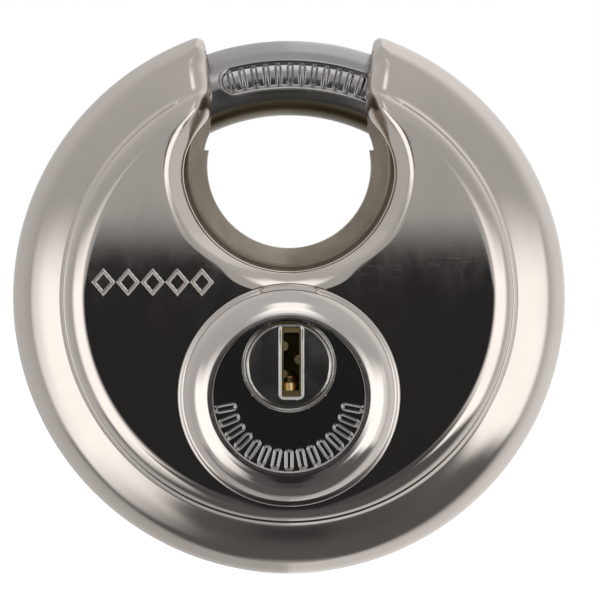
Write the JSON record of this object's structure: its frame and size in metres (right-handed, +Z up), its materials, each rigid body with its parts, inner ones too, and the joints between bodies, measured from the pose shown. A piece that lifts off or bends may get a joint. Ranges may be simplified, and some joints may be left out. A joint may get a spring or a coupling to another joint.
{
  "type": "disc padlock",
  "caption": "Round stainless disc padlock: a C-shaped shackle turns round inside the body and crosses a window for the hasp; key cylinder in a raised collar on the front.",
  "frame": {"origin": "centre of the disc, on the mid-plane between the two shells; also the axis that the shackle turns on", "axes": "+Y along the disc's axis, from the keyed face towards the plain back; +Z up through the shackle's window"},
  "size_m": [0.07, 0.0243, 0.0682],
  "materials": {
    "stainless_body": "polished",
    "stainless_bezel": "polished",
    "dark_plate": "polished, reads dark",
    "plug_steel": "polished, reads dark",
    "shackle_steel": "satin",
    "liner_steel": "satin, brown-grey",
    "zinc": "as cast",
    "brass": "machined",
    "hard_steel": "ground",
    "spring_steel": "drawn",
    "plated_steel": "zinc plated"
  },
  "bodies": {
    "case": {"front_shell": "stainless_body", "rear_shell": "stainless_body", "window_liner": "liner_steel", "core_front": "zinc", "core_rear": "zinc", "core_dowels": "hard_steel", "gear_cover": "plated_steel", "cover_screws": "plated_steel", "travel_stops": "hard_steel", "cylinder_bezel": "stainless_bezel", "face_plate": "dark_plate", "cylinder_housing": "brass", "chamber_cover": "brass", "drill_guards": "hard_steel", "pin_spring_1": "spring_steel", "pin_spring_2": "spring_steel", "pin_spring_3": "spring_steel", "pin_spring_4": "spring_steel", "pin_spring_5": "spring_steel"},
    "shackle": {"shackle_bar": "shackle_steel", "shackle_sector": "hard_steel", "sector_rivets": "plated_steel"},
    "plug": {"key_plug": "brass", "plug_face": "plug_steel", "drive_pinion": "plated_steel", "pinion_clip": "spring_steel"},
    "key_pin_1": {"key_pin_1": "brass"},
    "driver_pin_1": {"driver_pin_1": "hard_steel"},
    "key_pin_2": {"key_pin_2": "brass"},
    "driver_pin_2": {"driver_pin_2": "hard_steel"},
    "key_pin_3": {"key_pin_3": "brass"},
    "driver_pin_3": {"driver_pin_3": "hard_steel"},
    "key_pin_4": {"key_pin_4": "brass"},
    "driver_pin_4": {"driver_pin_4": "hard_steel"},
    "key_pin_5": {"key_pin_5": "brass"},
    "driver_pin_5": {"driver_pin_5": "hard_steel"}
  },
  "joints": [
    {"name": "shackle_turn", "type": "hinge", "parent": "case", "child": "shackle", "pos_m": [0, 0, 0], "axis": [0, 1, 0], "range_deg": [0, 50]},
    {"name": "plug_turn", "type": "hinge", "parent": "case", "child": "plug", "pos_m": [0, 0, -0.0085], "axis": [0, 1, 0], "range_deg": [0, 84]},
    {"name": "tumbler_1_key", "type": "slide", "parent": "plug", "child": "key_pin_1", "axis": [0, 0, 1], "range_m": [0, 0.001]},
    {"name": "tumbler_1_drive", "type": "slide", "parent": "case", "child": "driver_pin_1", "axis": [0, 0, 1], "range_m": [-0.002, 0], "stiffness_N_per_m": 8, "springref_m": 0.0005, "deforming": ["pin_spring_1"]},
    {"name": "tumbler_2_key", "type": "slide", "parent": "plug", "child": "key_pin_2", "axis": [0, 0, 1], "range_m": [0, 0.0002]},
    {"name": "tumbler_2_drive", "type": "slide", "parent": "case", "child": "driver_pin_2", "axis": [0, 0, 1], "range_m": [-0.002, 0], "stiffness_N_per_m": 8, "springref_m": 0.0005, "deforming": ["pin_spring_2"]},
    {"name": "tumbler_3_key", "type": "slide", "parent": "plug", "child": "key_pin_3", "axis": [0, 0, 1], "range_m": [0, 0.0014]},
    {"name": "tumbler_3_drive", "type": "slide", "parent": "case", "child": "driver_pin_3", "axis": [0, 0, 1], "range_m": [-0.002, 0], "stiffness_N_per_m": 8, "springref_m": 0.0005, "deforming": ["pin_spring_3"]},
    {"name": "tumbler_4_key", "type": "slide", "parent": "plug", "child": "key_pin_4", "axis": [0, 0, 1], "range_m": [0, 0.0006]},
    {"name": "tumbler_4_drive", "type": "slide", "parent": "case", "child": "driver_pin_4", "axis": [0, 0, 1], "range_m": [-0.002, 0], "stiffness_N_per_m": 8, "springref_m": 0.0005, "deforming": ["pin_spring_4"]},
    {"name": "tumbler_5_key", "type": "slide", "parent": "plug", "child": "key_pin_5", "axis": [0, 0, 1], "range_m": [0, 0.0012]},
    {"name": "tumbler_5_drive", "type": "slide", "parent": "case", "child": "driver_pin_5", "axis": [0, 0, 1], "range_m": [-0.002, 0], "stiffness_N_per_m": 8, "springref_m": 0.0005, "deforming": ["pin_spring_5"]}
  ],
  "couplings": [
    {"joint": "plug_turn", "follows": "shackle_turn", "ratio": 1.68}
  ]
}
